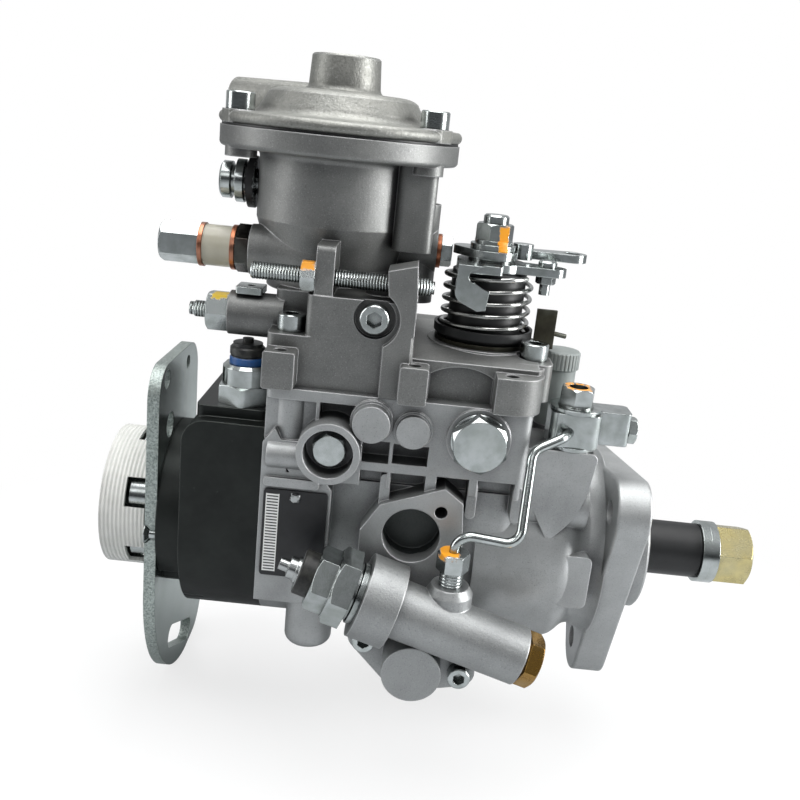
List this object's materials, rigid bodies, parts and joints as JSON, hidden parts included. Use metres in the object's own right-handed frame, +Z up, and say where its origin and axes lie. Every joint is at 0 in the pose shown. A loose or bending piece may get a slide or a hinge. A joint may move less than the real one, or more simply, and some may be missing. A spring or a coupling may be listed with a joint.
{
  "type": "diesel injection pump",
  "caption": "Rotary distributor diesel injection pump with mounting flange, taper drive shaft, governor cover with throttle lever, boost capsule, delivery valve outlets and cold-start unit.",
  "frame": {"origin": "centre of the drive shaft at the mounting flange's face", "axes": "+X along the drive shaft towards the engine's gear case, +Z up through the governor cover, +Y away from the throttle side"},
  "size_m": [0.2588, 0.1302, 0.2615],
  "materials": {
    "cast_aluminium": "blasted die casting",
    "black_head": "black satin",
    "zinc_steel": "bright zinc",
    "steel": "machined",
    "hardened_steel": "ground",
    "dark_steel": "phosphated",
    "brass": "machined",
    "copper": "soft copper",
    "black_plastic": "moulded",
    "white_plastic": "moulded",
    "grey_plastic": "moulded",
    "blue_plastic": "moulded",
    "black_rubber": "moulded",
    "yellow_zinc": "yellow passivated"
  },
  "bodies": {
    "pump": {"adjusting_screws": "zinc_steel", "barrel": "zinc_steel", "boost_cover": "cast_aluminium", "boost_diaphragm": "black_rubber", "boost_screws": "zinc_steel", "boost_spring": "steel", "brass_plug": "brass", "cold_start_element": "zinc_steel", "cold_start_housing": "cast_aluminium", "cold_start_terminal": "white_plastic", "copper_washers": "copper", "cover_screws": "zinc_steel", "distributor_head": "black_head", "face_plugs": "steel", "feed_pipe": "zinc_steel", "governor_cover": "cast_aluminium", "governor_pins": "steel", "head_screws": "zinc_steel", "inlet_banjo": "zinc_steel", "inlet_bolt": "zinc_steel", "inlet_cap": "grey_plastic", "name_plate": "black_plastic", "outlet_cap": "white_plastic", "plunger_springs": "steel", "port_plugs": "zinc_steel", "pump_housing": "cast_aluminium", "rear_bracket": "zinc_steel", "return_bolt": "zinc_steel", "return_nut": "dark_steel", "return_sleeve": "white_plastic", "shaft_seal": "black_rubber", "solenoid_body": "zinc_steel", "solenoid_terminal": "blue_plastic", "spring_cup": "black_plastic", "stop_plate": "dark_steel", "timing_cover": "cast_aluminium", "timing_screws": "zinc_steel", "timing_spring": "steel", "union_nut": "zinc_steel", "valve_holders": "steel", "vane_ring": "hardened_steel"},
    "drive": {"drive_shaft": "hardened_steel", "taper_sleeve": "black_plastic", "shaft_washers": "zinc_steel", "shaft_nut": "yellow_zinc", "vane_rotor": "hardened_steel", "cam_plate": "hardened_steel", "plunger": "hardened_steel"},
    "roller_carrier": {"roller_ring": "hardened_steel"},
    "timing_piston": {"advance_piston": "hardened_steel"},
    "governor_cage": {"governor_carrier": "steel"},
    "thrust_sleeve": {"governor_sleeve": "steel"},
    "governor_arm": {"governor_lever": "steel"},
    "spill_collar": {"control_collar": "hardened_steel"},
    "throttle": {"throttle_shaft": "steel", "throttle_lever": "zinc_steel", "lever_fasteners": "zinc_steel", "throttle_spring": "steel"},
    "boost_plate": {"boost_pin": "steel"},
    "shutoff": {"shutoff_plunger": "steel"}
  },
  "joints": [
    {"name": "drive_turn", "type": "hinge", "parent": "pump", "child": "drive", "pos_m": [0, 0, 0], "axis": [1, 0, 0], "continuous": true},
    {"name": "governor_turn", "type": "hinge", "parent": "pump", "child": "governor_cage", "pos_m": [0, 0, 0.038], "axis": [1, 0, 0], "continuous": true},
    {"name": "injection_timing", "type": "hinge", "parent": "pump", "child": "roller_carrier", "pos_m": [0, 0, 0], "axis": [1, 0, 0], "range_deg": [-6.5, 6.5]},
    {"name": "advance_slide", "type": "slide", "parent": "pump", "child": "timing_piston", "axis": [0, 1, 0], "range_m": [-0.004, 0.004], "deforming": ["timing_spring"]},
    {"name": "governor_lever_tilt", "type": "hinge", "parent": "pump", "child": "governor_arm", "pos_m": [-0.1075, 0, 0.025], "axis": [0, 1, 0], "range_deg": [-6, 0]},
    {"name": "sleeve_slide", "type": "slide", "parent": "pump", "child": "thrust_sleeve", "axis": [1, 0, 0], "range_m": [-0.0011, 0]},
    {"name": "delivery_control", "type": "slide", "parent": "pump", "child": "spill_collar", "axis": [1, 0, 0], "range_m": [0, 0.00155]},
    {"name": "throttle_turn", "type": "hinge", "parent": "pump", "child": "throttle", "pos_m": [-0.066, -0.012, 0.1], "axis": [0, 0, 1], "range_deg": [0, 45], "stiffness_Nm_per_rad": 0.4, "springref_deg": -28.65},
    {"name": "boost_stroke", "type": "slide", "parent": "pump", "child": "boost_plate", "axis": [0, 0, 1], "range_m": [-0.005, 0], "stiffness_N_per_m": 1500, "springref_m": 0.004, "deforming": ["boost_spring"]},
    {"name": "shutoff_lift", "type": "slide", "parent": "pump", "child": "shutoff", "axis": [0, 0, 1], "range_m": [0, 0.0025], "stiffness_N_per_m": 600, "springref_m": -0.004}
  ],
  "couplings": [
    {"joint": "governor_turn", "follows": "drive_turn", "ratio": -1.1111},
    {"joint": "advance_slide", "follows": "injection_timing", "m_per_rad": 0.035},
    {"joint": "sleeve_slide", "follows": "governor_lever_tilt", "m_per_rad": 0.01},
    {"joint": "delivery_control", "follows": "governor_lever_tilt", "m_per_rad": -0.0145}
  ]
}
